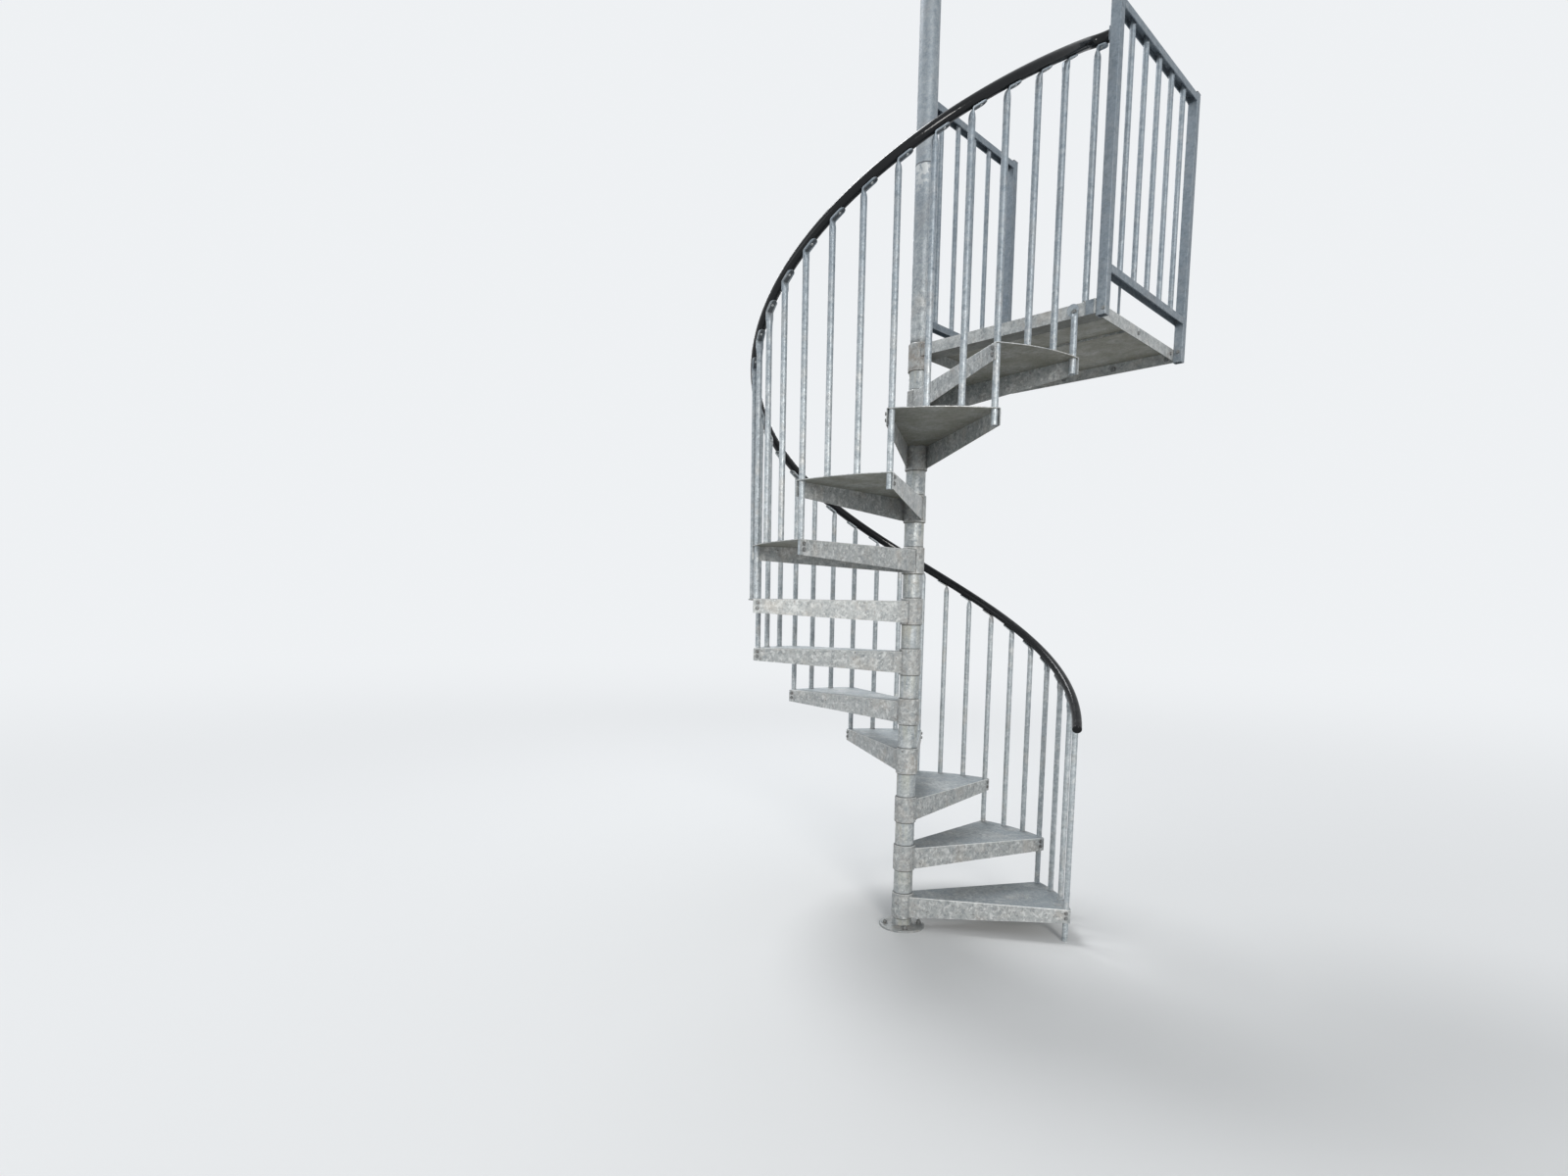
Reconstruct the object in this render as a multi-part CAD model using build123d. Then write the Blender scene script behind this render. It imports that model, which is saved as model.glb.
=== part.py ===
from build123d import *
import math
import os

# Spiral staircase: eleven steel treads round a centre pole, with a square landing at the top.
# Millimetres, +Z up. The origin is on the underside of the base plate, on the pole's axis.
# +X runs along the landing's front edge, and +Y runs from that edge towards the building.
# The stair climbs counterclockwise seen from above.

# Rise and turn
tread_count = 11
first_rise = 155.0
rise = 235.0
landing_rise = 205.0
step_angle = 29.5

# Centre pole and base
pole_d = 88.9
pole_wall = 5.5
pole_joint_z = 3490.0
pole_above_landing = 1530.0
pole_chamfer = 1.5
cap_wall = 5.0
cap_dome = 16.0
cap_overhang = 2.0
base_d = 216.0
base_t = 9.5
base_hole_d = 14.3
base_hole_circle = 165.0
base_holes = 4
base_chamfer = 2.0

# Tread hub sleeves
sleeve_d = 101.6
sleeve_gap = 0.3
sleeve_above = 12.0
sleeve_below = 110.0
sleeve_chamfer = 2.0

# Treads
baluster_circle = 748.0
edge_margin = 18.0
plate_t = 3.2
hub_offset = 40.0
flange_hub = 100.0
flange_outer = 62.0
bend_r = 4.0
hole_gap = 0.3
rod_to_flange = 1.0
bolt_hole_d = 8.6
bolt_from_edge = 19.0
bolt_first_drop = 15.0
bolt_pitch = 24.0

# Balusters
rod_d = 25.4
rod_wall = 2.0
rods_per_tread = 3
crimp_len = 42.0
tab_t = 4.6
tab_w = 33.0
tab_len = 58.0
tab_bend = 7.0
tab_drop = 34.0
tab_root = 14.0
tab_edge = 7.0
tab_groove = 1.3
tab_hole_d = 7.0
tab_hole_from_end = 24.0
stub_tab_h = 30.0
stub_tab_r = 23.0
stub_tab_side = 13.0
stub_crimp = 20.0
last_rod_lead = 6.0
last_tab_len = 36.0

# Handrail
rail_d = 42.0
rail_height = 908.0
rail_gap = 0.3
rail_low_run = 0.24
rail_elbow = 45.0
rail_elbow_rise = 20.0
rail_plate_t = 3.0
rail_plate_rim = 3.0
end_cap_len = 9.0

# Landing
rail_to_post = 74.0
landing_depth = 865.0
landing_flange = 50.8
landing_lip = 89.0
stiffener_from_front = 423.0
stiffener_h = 9.0
stiffener_w = 12.0
fixing_hole_d = 11.0
fixing_holes = 4
clip_w = 30.0
clip_h = 53.0
clip_t = 5.0
clip_gap = 8.0

# Landing guard
post_w = 38.1
post_wall = 3.0
post_below = 9.0
left_post_inset = 40.0
guard_h = 1067.0
post_above_rail = 8.0
post_cap_t = 5.0
channel_h = 28.0
channel_t = 3.5
low_rail_clear = 100.0
guard_rods = 5
guard_rod_d = 22.2
foot_bar_w = 12.0
foot_bar_t = 6.0
foot_bar_from_post = 180.0

# Sizes that follow from the ones above
pole_r = pole_d / 2
sleeve_r = sleeve_d / 2
rod_r = rod_d / 2
rail_r = rail_d / 2
guard_rod_r = guard_rod_d / 2
tread_r = baluster_circle + edge_margin
step_rad = math.radians(step_angle)
landing_z = first_rise + (tread_count - 1) * rise + landing_rise
pole_top = landing_z + pole_above_landing
landing_y0 = -hub_offset
landing_y1 = landing_y0 + landing_depth
landing_x0 = post_w / 2
landing_x1 = baluster_circle + rail_to_post
guard_top = landing_z + guard_h
landing_low = landing_z - landing_flange
post_bottom = landing_low - post_below
post_top = guard_top + post_above_rail
low_rail_z = landing_z + low_rail_clear
stub_angle = -math.asin((hub_offset + rod_r) / baluster_circle)
edge_lean = math.asin((hub_offset - rod_r - rod_to_flange - plate_t) / baluster_circle)
rail_slope = math.atan(rise / (step_rad * baluster_circle))


def tread_z(n):
    # Top of tread n, counted from 1.
    return first_rise + (n - 1) * rise


def connector_angle(k):
    # Angle of the upright at the nosing of tread k + 1; the last one is the landing's.
    return stub_angle - (tread_count - k) * step_rad


def rail_z(angle):
    # Height of the handrail's centreline over that angle.
    return first_rise + (angle - connector_angle(0)) / step_rad * rise + rail_height


def about_z(shape, angle):
    return Rot(0, 0, math.degrees(angle)) * shape


def ring(outer_r, inner_r, z0, z1):
    body = Pos(0, 0, z0) * extrude(Circle(outer_r), z1 - z0)
    bore = Pos(0, 0, z0 - 1) * extrude(Circle(inner_r), z1 - z0 + 2)
    return body - bore


def chamfered_ring(outer_r, inner_r, z0, z1, chamfer_len):
    # A ring turned in one go, with its outer corners broken.
    profile = Polyline(
        (inner_r, z0),
        (outer_r - chamfer_len, z0),
        (outer_r, z0 + chamfer_len),
        (outer_r, z1 - chamfer_len),
        (outer_r - chamfer_len, z1),
        (inner_r, z1),
        close=True,
    )
    return revolve(Plane.XZ * make_face(profile), Axis.Z)


def box_between(x0, x1, y0, y1, z0, z1):
    block = Box(x1 - x0, y1 - y0, z1 - z0, align=(Align.MIN, Align.MIN, Align.MIN))
    return Pos(x0, y0, z0) * block


# The tread

def edge_frame(side):
    # The line of a tread's edge in plan: its direction from the pole and its offset from the axis.
    # side is -1 for the nosing and +1 for the rear. The wedge's uprights sit at 0 and at step_rad.
    if side < 0:
        return edge_lean
    return step_rad - edge_lean


def edge_point(side, along, inset):
    # A point of the edge line, moved towards the middle of the tread by inset.
    a = edge_frame(side)
    off = side * (hub_offset - inset)
    return (along * math.cos(a) - off * math.sin(a), along * math.sin(a) + off * math.cos(a))


def edge_end(inset):
    # Length of the edge line where it meets the outer arc.
    return math.sqrt(tread_r ** 2 - (hub_offset - inset) ** 2)


def tread_outline(inset, reach):
    # The wedge in plan, its straight sides moved in by inset and its outer arc out by reach.
    far = tread_r + reach
    along = math.sqrt(far ** 2 - (hub_offset - inset) ** 2)
    a = edge_point(-1, 0, inset)
    b = edge_point(-1, along, inset)
    c = edge_point(1, along, inset)
    d = edge_point(1, 0, inset)
    mid = step_rad / 2
    m = (far * math.cos(mid), far * math.sin(mid))
    return make_face(Polyline(a, b) + ThreePointArc(b, m, c) + Polyline(c, d) + Line(d, a))


def make_tread():
    # A bent sheet, drawn with its nosing upright at angle 0 and its top at z = 0.
    body = extrude(tread_outline(0, 0), -flange_hub)
    sides = []
    for side in (-1, 1):
        p = edge_point(side, tread_r / 2, 0)
        sides.append(body.edges().sort_by_distance(Vector(p[0], p[1], 0))[0])
    body = fillet(sides, bend_r)
    inside = Pos(0, 0, -plate_t) * extrude(tread_outline(plate_t, 5), -flange_hub)
    body = body - inside
    run = tread_r - sleeve_r
    wedge = Polyline(
        (sleeve_r, -flange_hub),
        (tread_r + 10, -flange_outer + 10 * (flange_hub - flange_outer) / run),
        (tread_r + 10, -flange_hub - 10),
        (0, -flange_hub - 10),
        (0, -flange_hub),
        close=True,
    )
    taper = extrude(Plane.XZ * make_face(wedge), tread_r, both=True)
    body = body - about_z(taper, step_rad / 2)
    core = Pos(0, 0, -sleeve_below) * extrude(Circle(sleeve_r - 1), 2 * sleeve_below)
    sleeve = chamfered_ring(
        sleeve_r, pole_r + sleeve_gap, -sleeve_below, sleeve_above, sleeve_chamfer
    )
    body = body - core + sleeve
    hole = Pos(baluster_circle, 0, -50) * extrude(Circle(rod_r + hole_gap), 60)
    for angle in (0, step_rad):
        body = body - about_z(hole, angle)
    for side in (-1, 1):
        for n in (0, 1):
            along = edge_end(0) - bolt_from_edge
            drop = -plate_t - bolt_first_drop - n * bolt_pitch
            drill = Pos(along, side * hub_offset, drop) * Rot(90, 0, 0) * Cylinder(bolt_hole_d / 2, 12)
            body = body - about_z(drill, edge_frame(side))
    return body


# The balusters

def tab_band(top_z, slope, length, near, far, start_z, half_w):
    # A strip that bends from upright to the rail's slope, between two depths below the rail.
    # Depth 0 is the face against the rail, whose centreline crosses the upright's axis at top_z.
    t = math.tan(slope)
    c = math.cos(slope)
    upper = top_z - (rail_r + rail_gap) / c
    reach = length * c
    left = near - tab_t / 2
    right = far - tab_t / 2
    outline = Polyline(
        (left, start_z),
        (left, upper - near / c + left * t),
        (reach + near * math.sin(slope), upper + reach * t - near * c),
        (reach + far * math.sin(slope), upper + reach * t - far * c),
        (right, upper - far / c + right * t),
        (right, start_z),
        close=True,
    )
    strip = extrude(Plane.YZ * make_face(outline), half_w, both=True)
    for y, depth in ((right, far), (left, near)):
        edges = strip.edges().filter_by(Axis.X)
        bend = edges.filter_by(lambda e: abs(e.center().Y - y) < 0.01).sort_by(Axis.Z)[-1]
        strip = fillet([bend], tab_bend + tab_t - depth)
    # Both ends are round: the free one, and the one where the flat part grows out of the rod.
    for axis, end in ((Axis.Y, -1), (Axis.Z, 0)):
        ends = strip.edges().filter_by(lambda e: abs(e.length - far + near) < 0.01)
        strip = fillet(ends.group_by(axis)[end], half_w - 0.2)
    return strip


def make_baluster(bottom_z, top_z, slope=rail_slope, length=tab_len):
    # Along +Z at the origin, its tab pointing along +Y, which is the way the stair climbs.
    c = math.cos(slope)
    upper = top_z - (rail_r + rail_gap) / c
    foot = upper - tab_drop
    start = foot - crimp_len
    strip = tab_band(top_z, slope, length, 0, tab_t, foot - tab_root, tab_w / 2)
    groove = tab_band(
        top_z, slope, length - tab_edge, tab_t - tab_groove, tab_t + 1,
        foot + tab_edge, tab_w / 2 - tab_edge,
    )
    out = (length - tab_hole_from_end) * c
    drill = Pos(0, out, upper + out * math.tan(slope)) * Rot(math.degrees(slope), 0, 0)
    drill = drill * Cylinder(tab_hole_d / 2, 4 * tab_t)
    rod = Pos(0, 0, bottom_z) * extrude(Circle(rod_r), start - bottom_z)
    low = Pos(0, 0, start) * Circle(rod_r)
    high = Pos(0, 0, foot + 1) * Ellipse(tab_w / 2 - 0.5, tab_t / 2 - 0.1)
    neck = loft([low, high])
    bore = Pos(0, 0, bottom_z - 1) * extrude(Circle(rod_r - rod_wall), start - bottom_z - 4)
    return rod + neck + strip - bore - groove - drill


def place_baluster(angle, bottom_z):
    piece = make_baluster(bottom_z, rail_z(angle))
    return about_z(Pos(baluster_circle, 0, 0) * piece, angle)


def make_landing_baluster():
    # The last one stands on the landing, just inside its front flange, under the rail's bend.
    path = elbow_path()
    y = landing_y0 + plate_t + rod_r + hole_gap
    spot = 0.0
    while (path @ spot).Y < y - last_rod_lead and spot < 0.95:
        spot += 0.01
    here = path @ spot
    there = path @ min(spot + 0.4, 1.0)
    flat = math.hypot(there.X - here.X, there.Y - here.Y)
    slope = math.atan2(there.Z - here.Z, flat)
    piece = make_baluster(landing_z, here.Z, slope, last_tab_len)
    turn = math.atan2(there.Y - here.Y, there.X - here.X) - math.pi / 2
    return Pos(here.X, y, 0) * about_z(piece, turn)


def make_stub():
    # Upright between the last tread's rear corner and the landing's front flange.
    # Its end is pressed flat into a round tab that lies on the flange, a little to one side.
    bottom = tread_z(tread_count) - flange_outer
    top = landing_low
    rod = Pos(0, 0, bottom) * extrude(Circle(rod_r), top - bottom)
    bore = Pos(0, 0, bottom - 1) * extrude(Circle(rod_r - rod_wall), top - bottom - 3)
    tab = Pos(-stub_tab_side, rod_r - tab_t / 2, landing_low + stub_tab_h) * Rot(90, 0, 0)
    tab = tab * Cylinder(stub_tab_r, tab_t)
    neck_high = Pos(-stub_tab_side / 3, rod_r - tab_t / 2, top + stub_crimp)
    neck_high = neck_high * Ellipse(rod_r - 1, tab_t / 2 - 0.1)
    neck = loft([Pos(0, 0, top) * Circle(rod_r), neck_high])
    body = rod - bore + neck + tab
    x = baluster_circle * math.cos(stub_angle)
    y = baluster_circle * math.sin(stub_angle)
    return Pos(x, y, 0) * body


# The handrail

def rail_section(angle):
    # Where the round section sits, square to the helix.
    slope = rail_slope
    x = baluster_circle * math.cos(angle)
    y = baluster_circle * math.sin(angle)
    tangent = Vector(
        -math.sin(angle) * math.cos(slope), math.cos(angle) * math.cos(slope), math.sin(slope)
    )
    return Vector(x, y, rail_z(angle)), tangent


rail_end_y = landing_y0 + post_w / 2
rail_elbow_y = rail_end_y - rail_elbow
rail_top_angle = math.asin(rail_elbow_y / baluster_circle)
rail_low_angle = connector_angle(0) - rail_low_run * step_rad


def make_handrail():
    span = rail_top_angle - rail_low_angle
    pitch = rise * 2 * math.pi / step_rad
    path = Helix(pitch, pitch * span / (2 * math.pi), baluster_circle)
    path = Pos(0, 0, rail_z(rail_low_angle)) * about_z(path, rail_low_angle)
    where, tangent = rail_section(rail_low_angle)
    start = Plane(origin=where, z_dir=tangent)
    return sweep(start * Circle(rail_r), path=path)


def elbow_path():
    # From the helix round to the front post's side face, levelling out on the way.
    where, tangent = rail_section(rail_top_angle)
    end = Vector(landing_x1 - rail_plate_t, rail_end_y, where.Z + rail_elbow_rise)
    return Spline(where, end, tangents=(tangent, Vector(1, 0, 0)))


def make_elbow():
    where, tangent = rail_section(rail_top_angle)
    start = Plane(origin=where, z_dir=tangent)
    return sweep(start * Circle(rail_r), path=elbow_path())


def make_rail_plate():
    # Plate between the handrail's upper end and the front post, as wide as the post.
    end = elbow_path() @ 1
    half_h = rail_r + rail_plate_rim
    return box_between(
        end.X, end.X + rail_plate_t, landing_y0, landing_y0 + post_w, end.Z - half_h, end.Z + half_h
    )


def make_rail_cap():
    where, tangent = rail_section(rail_low_angle)
    seat = Plane(origin=where, z_dir=tangent * -1)
    cap = extrude(Circle(rail_r), end_cap_len)
    cap = fillet(cap.edges().group_by(Axis.Z)[-1], end_cap_len * 0.8)
    return seat * cap


# The landing

def make_landing():
    x0, x1, y0, y1 = landing_x0, landing_x1, landing_y0, landing_y1
    top = landing_z
    low = landing_low
    body = box_between(x0, x1, y0, y1, low, top)
    body = fillet(body.edges().filter_by(Axis.Y).group_by(Axis.Z)[-1], bend_r)
    inside = box_between(
        x0 + plate_t, x1 - plate_t, y0 + plate_t, y1 - plate_t, low - 1, top - plate_t
    )
    body = body - inside
    body = body + box_between(x0, x1, y0, y0 + landing_lip, low, low + plate_t)
    body = body - Pos(0, 0, low - 5) * extrude(Circle(sleeve_r - 1), landing_flange + 10)
    sleeve = Pos(0, 0, top) * chamfered_ring(
        sleeve_r, pole_r + sleeve_gap, -sleeve_below, sleeve_above, sleeve_chamfer
    )
    body = body + sleeve
    pitch = (x1 - x0 - 2 * post_w) / (fixing_holes - 1)
    for n in range(fixing_holes):
        drill = Rot(90, 0, 0) * Cylinder(fixing_hole_d / 2, 20)
        body = body - Pos(x0 + post_w + n * pitch, y1, low + landing_flange * 0.45) * drill
    return body


def make_stiffener():
    # A flat bar under the plate, side to side.
    y = landing_y0 + stiffener_from_front
    top = landing_z - plate_t
    return box_between(
        landing_x0 + plate_t, landing_x1 - plate_t, y - stiffener_w / 2, y + stiffener_w / 2,
        top - stiffener_h, top,
    )


def make_post(x0, y0):
    tube = box_between(x0, x0 + post_w, y0, y0 + post_w, post_bottom, post_top)
    tube = fillet(tube.edges().filter_by(Axis.Z), post_wall)
    bore = box_between(
        x0 + post_wall, x0 + post_w - post_wall, y0 + post_wall, y0 + post_w - post_wall,
        post_bottom - 1, post_top + 1,
    )
    return tube - bore


def make_post_cap(x0, y0):
    cap = box_between(x0, x0 + post_w, y0, y0 + post_w, post_top, post_top + post_cap_t)
    cap = chamfer(cap.edges().group_by(Axis.Z)[-1], post_cap_t * 0.5)
    plug = box_between(
        x0 + post_wall + 0.3, x0 + post_w - post_wall - 0.3,
        y0 + post_wall + 0.3, y0 + post_w - post_wall - 0.3,
        post_top - 12, post_top,
    )
    return cap + plug


def channel_along_y(x_mid, y0, y1, top_z):
    # A channel laid open side down, as wide as the posts.
    half = post_w / 2
    outer = box_between(x_mid - half, x_mid + half, y0, y1, top_z - channel_h, top_z)
    inner = box_between(
        x_mid - half + channel_t, x_mid + half - channel_t, y0 - 1, y1 + 1,
        top_z - channel_h - 1, top_z - channel_t,
    )
    return outer - inner


def make_guard(x_mid, y0, y1, trim):
    # Two rails from y0 to y1, and rods at an even pitch between the centres of the right posts.
    top_rail = channel_along_y(x_mid, y0, y1, guard_top)
    low_rail = channel_along_y(x_mid, y0, y1, low_rail_z + channel_h)
    if trim is not None:
        top_rail = top_rail - trim
        low_rail = low_rail - trim
    pitch = (landing_depth - post_w) / (guard_rods + 1)
    rods = []
    for n in range(guard_rods):
        y = landing_y0 + post_w / 2 + (n + 1) * pitch
        rod = ring(guard_rod_r, guard_rod_r - rod_wall, low_rail_z + channel_h, guard_top - channel_t)
        rods.append(Pos(x_mid, y, 0) * rod)
    return top_rail, low_rail, rods


# Build and save

def build_nodes():
    nodes = {}
    base = extrude(Circle(base_d / 2), base_t)
    base = chamfer(base.edges().group_by(Axis.Z)[-1], base_chamfer)
    drill = Pos(base_hole_circle / 2, 0, -1) * extrude(Circle(base_hole_d / 2), base_t + 2)
    for n in range(base_holes):
        base = base - about_z(drill, math.pi / base_holes + n * 2 * math.pi / base_holes)
    nodes["base_plate"] = [base]
    bore_r = pole_r - pole_wall
    nodes["centre_pole"] = [chamfered_ring(pole_r, bore_r, base_t, pole_joint_z, pole_chamfer)]
    nodes["pole_extension"] = [chamfered_ring(pole_r, bore_r, pole_joint_z, pole_top, pole_chamfer)]
    cap = Pos(0, 0, pole_top) * extrude(Circle(pole_r + cap_overhang), cap_wall + cap_dome)
    nodes["pole_cap"] = [fillet(cap.edges().group_by(Axis.Z)[-1], cap_dome)]

    tread = make_tread()
    for n in range(1, tread_count + 1):
        placed = Pos(0, 0, tread_z(n)) * about_z(tread, connector_angle(n - 1))
        nodes[f"tread_{n:02d}"] = [placed]
        group = []
        for j in range(rods_per_tread):
            angle = connector_angle(n - 1) + j * step_rad / rods_per_tread
            if j > 0:
                bottom = tread_z(n)
            elif n == 1:
                bottom = 0
            else:
                bottom = tread_z(n - 1) - flange_outer
            group.append(place_baluster(angle, bottom))
        nodes[f"balusters_{n:02d}"] = group

    nodes["handrail"] = [make_handrail()]
    nodes["handrail_elbow"] = [make_elbow()]
    nodes["handrail_plate"] = [make_rail_plate()]
    nodes["handrail_cap"] = [make_rail_cap()]
    nodes["landing"] = [make_landing()]
    nodes["landing_stiffener"] = [make_stiffener()]
    nodes["landing_stub"] = [make_stub()]
    nodes["landing_baluster"] = [make_landing_baluster()]
    clip_x = landing_x1 - clip_gap
    nodes["post_clip"] = [box_between(
        clip_x - clip_w, clip_x, landing_y0 - clip_t, landing_y0,
        landing_low, landing_low + clip_h,
    )]

    back_y = landing_y1 - post_w
    left_y = back_y - left_post_inset
    left_x = landing_x0 - post_w
    posts = {
        "post_front": (landing_x1, landing_y0),
        "post_back": (landing_x1, back_y),
        "post_left": (left_x, left_y),
    }
    caps = []
    for name, (x0, y0) in posts.items():
        nodes[name] = [make_post(x0, y0)]
        caps.append(make_post_cap(x0, y0))
    nodes["post_caps"] = caps

    right_x = landing_x1 + post_w / 2
    top_rail, low_rail, rods = make_guard(right_x, landing_y0 + post_w, back_y, None)
    nodes["right_top_rail"] = [top_rail]
    nodes["right_low_rail"] = [low_rail]
    nodes["right_balusters"] = rods
    bar_y = landing_y0 + post_w + foot_bar_from_post
    nodes["right_foot_bar"] = [box_between(
        landing_x1 - foot_bar_t, landing_x1, bar_y - foot_bar_w / 2, bar_y + foot_bar_w / 2,
        landing_z, low_rail_z + channel_h,
    )]
    trim = Pos(0, 0, landing_z) * extrude(Circle(pole_r + sleeve_gap), guard_h + 100)
    top_rail, low_rail, rods = make_guard(0, 0, left_y, trim)
    nodes["left_top_rail"] = [top_rail]
    nodes["left_low_rail"] = [low_rail]
    nodes["left_balusters"] = rods
    return nodes


def main():
    os.makedirs("parts", exist_ok=True)
    for name, solids in build_nodes().items():
        shape = solids[0] if len(solids) == 1 else Compound(children=list(solids))
        export_step(shape, f"parts/{name}.step")


main()
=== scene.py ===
"""Looks of the spiral staircase: finishes, fasteners, welds and a studio round the frame."""

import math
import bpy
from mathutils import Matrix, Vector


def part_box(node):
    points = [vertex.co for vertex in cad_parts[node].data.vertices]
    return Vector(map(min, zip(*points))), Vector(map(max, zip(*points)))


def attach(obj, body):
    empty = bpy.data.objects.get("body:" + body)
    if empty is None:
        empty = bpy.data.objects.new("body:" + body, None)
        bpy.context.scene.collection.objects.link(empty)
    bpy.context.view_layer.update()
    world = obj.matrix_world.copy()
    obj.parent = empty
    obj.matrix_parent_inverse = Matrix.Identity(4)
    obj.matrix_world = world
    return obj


bl_info = {
    "name": "Spiral staircase looks",
    "version": (1, 0, 0),
    "blender": (4, 5, 0),
    "location": "3D View > Sidebar > Staircase",
    "description": "Finishes, fasteners, welds and a plain studio for the spiral staircase",
    "category": "Object",
}

import bmesh
import bpy
from bpy.props import FloatProperty, FloatVectorProperty, IntProperty, PointerProperty
from mathutils import Matrix, Vector

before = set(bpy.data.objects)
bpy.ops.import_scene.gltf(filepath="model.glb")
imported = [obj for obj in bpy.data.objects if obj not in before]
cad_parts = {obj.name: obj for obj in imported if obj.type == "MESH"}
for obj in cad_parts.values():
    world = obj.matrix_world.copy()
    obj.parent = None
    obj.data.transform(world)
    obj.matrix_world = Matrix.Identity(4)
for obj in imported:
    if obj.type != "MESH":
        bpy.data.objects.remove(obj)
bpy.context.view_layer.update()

BODY = "root"

# Places read from the frame, in metres
TREADS = sorted(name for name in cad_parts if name.startswith("tread_"))
SLEEVE_ABOVE = 0.012
SLEEVE_BELOW = 0.110
BASE_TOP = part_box("base_plate")[1].z
POLE_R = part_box("centre_pole")[1].x
POLE_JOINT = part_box("centre_pole")[1].z
LANDING_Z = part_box("right_foot_bar")[0].z
LANDING_X0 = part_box("post_left")[1].x
LANDING_X1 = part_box("post_front")[0].x
LANDING_Y0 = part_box("post_front")[0].y
LANDING_Y1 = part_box("post_back")[1].y
LANDING_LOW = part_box("post_clip")[0].z
POST_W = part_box("post_front")[1].x - LANDING_X1
SLEEVE_R = -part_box("landing")[0].x
GUARD_RAILS = ("right_low_rail", "right_top_rail", "left_low_rail", "left_top_rail")

# The stair's own rule, as in the frame
HUB_OFFSET = 0.040
RISE = 0.235
FIRST_RISE = 0.155
STEP = math.radians(29.5)
CIRCLE = 0.748
TREAD_R = 0.766
PLATE = 0.0032
FLANGE_HUB = 0.100
ROD_R = 0.0127
ROD_GAP = 0.001
RAIL_R = 0.021
RAIL_HEIGHT = 0.908
RAIL_GAP = 0.0003
TAB_LENGTH = 0.058
TAB_HOLE_FROM_END = 0.024
TAB_SEAT = 0.0033
LEAN = math.asin((HUB_OFFSET - ROD_R - ROD_GAP - PLATE) / CIRCLE)
RAIL_SLOPE = math.atan(RISE / (STEP * CIRCLE))
STUB_ANGLE = -math.asin((HUB_OFFSET + ROD_R) / CIRCLE)
LAST_UPRIGHT = Vector((0.7726, -0.0238, 0.0))
LAST_TAB_TURN = -1.35816
LAST_TAB_RAIL_Z = 3.65749
LAST_TAB_SLOPE = 0.060
LAST_TAB_LENGTH = 0.036
LAST_NECK_DROP = 0.006
RODS_PER_TREAD = 3
GUARD_RODS = 5
GUARD_ROD_R = 0.0111

# Depth below the tab, half width and half thickness of the squeezed tube, from the top down
NECK = (
    (0.0050, 0.0156, 0.0017), (0.0070, 0.0166, 0.0032), (0.0110, 0.0163, 0.0064),
    (0.0160, 0.0155, 0.0092), (0.0220, 0.0144, 0.0112), (0.0290, 0.0134, 0.0124),
    (0.0370, 0.01288, 0.01288), (0.0600, 0.01286, 0.01286), (0.0810, 0.01286, 0.01286),
    (0.0850, 0.0125, 0.0125),
)
NECK_SIDES = 24

# Bolts: the hexagon's width and height, then the washer's
STUB_BOLT = (0.0150, 0.0062, 0.0210, 0.0018)
POST_BOLT = (0.0125, 0.0048, 0.0155, 0.0014)
BUILDING_BOLT = (0.0180, 0.0072, 0.0260, 0.0022)
TREAD_WASHER_HEIGHT = 0.0016
ANCHOR_HEIGHT = 0.0105
ANCHOR_WASHER_SHARE = 1.3
ANCHOR_WASHER_HEIGHT = 0.0024
ANCHOR_STUD = 0.007
HEAD_SUNK = 0.0002

# Where the bolts sit; the posts' are measured right and up from the landing's lower corner
TREAD_BOLT_INSET = 0.019
TREAD_BOLT_DROPS = (0.015, 0.039)
BASE_BOLTS = 4
BASE_BOLT_CIRCLE = 0.0825
STUB_BOLT_ASIDE = 0.007
STUB_TAB_THICKNESS = 0.0046
STUB_BOLT_UP = 0.022
TOP_BOLTS_X = (0.773, 0.813)
TOP_BOLT_INSET = 0.0085
FRONT_POST_BOLT = (0.029, 0.0135)
BACK_POST_BOLT = (0.020, 0.0345)
RIGHT_BOLTS_Y = (0.3816, 0.7529)
RIGHT_BOLT_UP = 0.0235
BUILDING_BOLTS = 4
BUILDING_BOLT_UP = 0.02286

# How far the beads stand off the steel, and what is left free at their ends
HUB_BEAD_OFF = 0.0012
PLATE_BEAD_OFF = 0.0008
UPPER_BEAD_FREE = 0.09  # radians
LOWER_BEAD_FREE = 0.14  # radians
SIDE_BEAD_TOP = 0.003
SIDE_BEAD_FREE = 0.001
FOOT_BEAD = 0.0046
FOOT_BEAD_OFF = 0.0006
GUARD_BEAD = 0.0040
GUARD_BEAD_IN = 0.0005
GUARD_BEAD_FREE = 0.0042
SAME_PLACE = 1e-6

# Camera of the photograph's frame, 1600 by 1200
IMAGE_W = 1600
IMAGE_H = 1200
CAMERA_PLACE = (2.26875, -3.31086, 1.49492)
CAMERA_YAW = math.radians(45.214)
CAMERA_PITCH = math.radians(-5.626)
CAMERA_ROLL = math.radians(0.744)
FOCAL_PX = 853.567
CENTRE_PX = (765.406, 710.776)
SENSOR_MM = 36.0
CAMERA_REACH = 200.0

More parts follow.
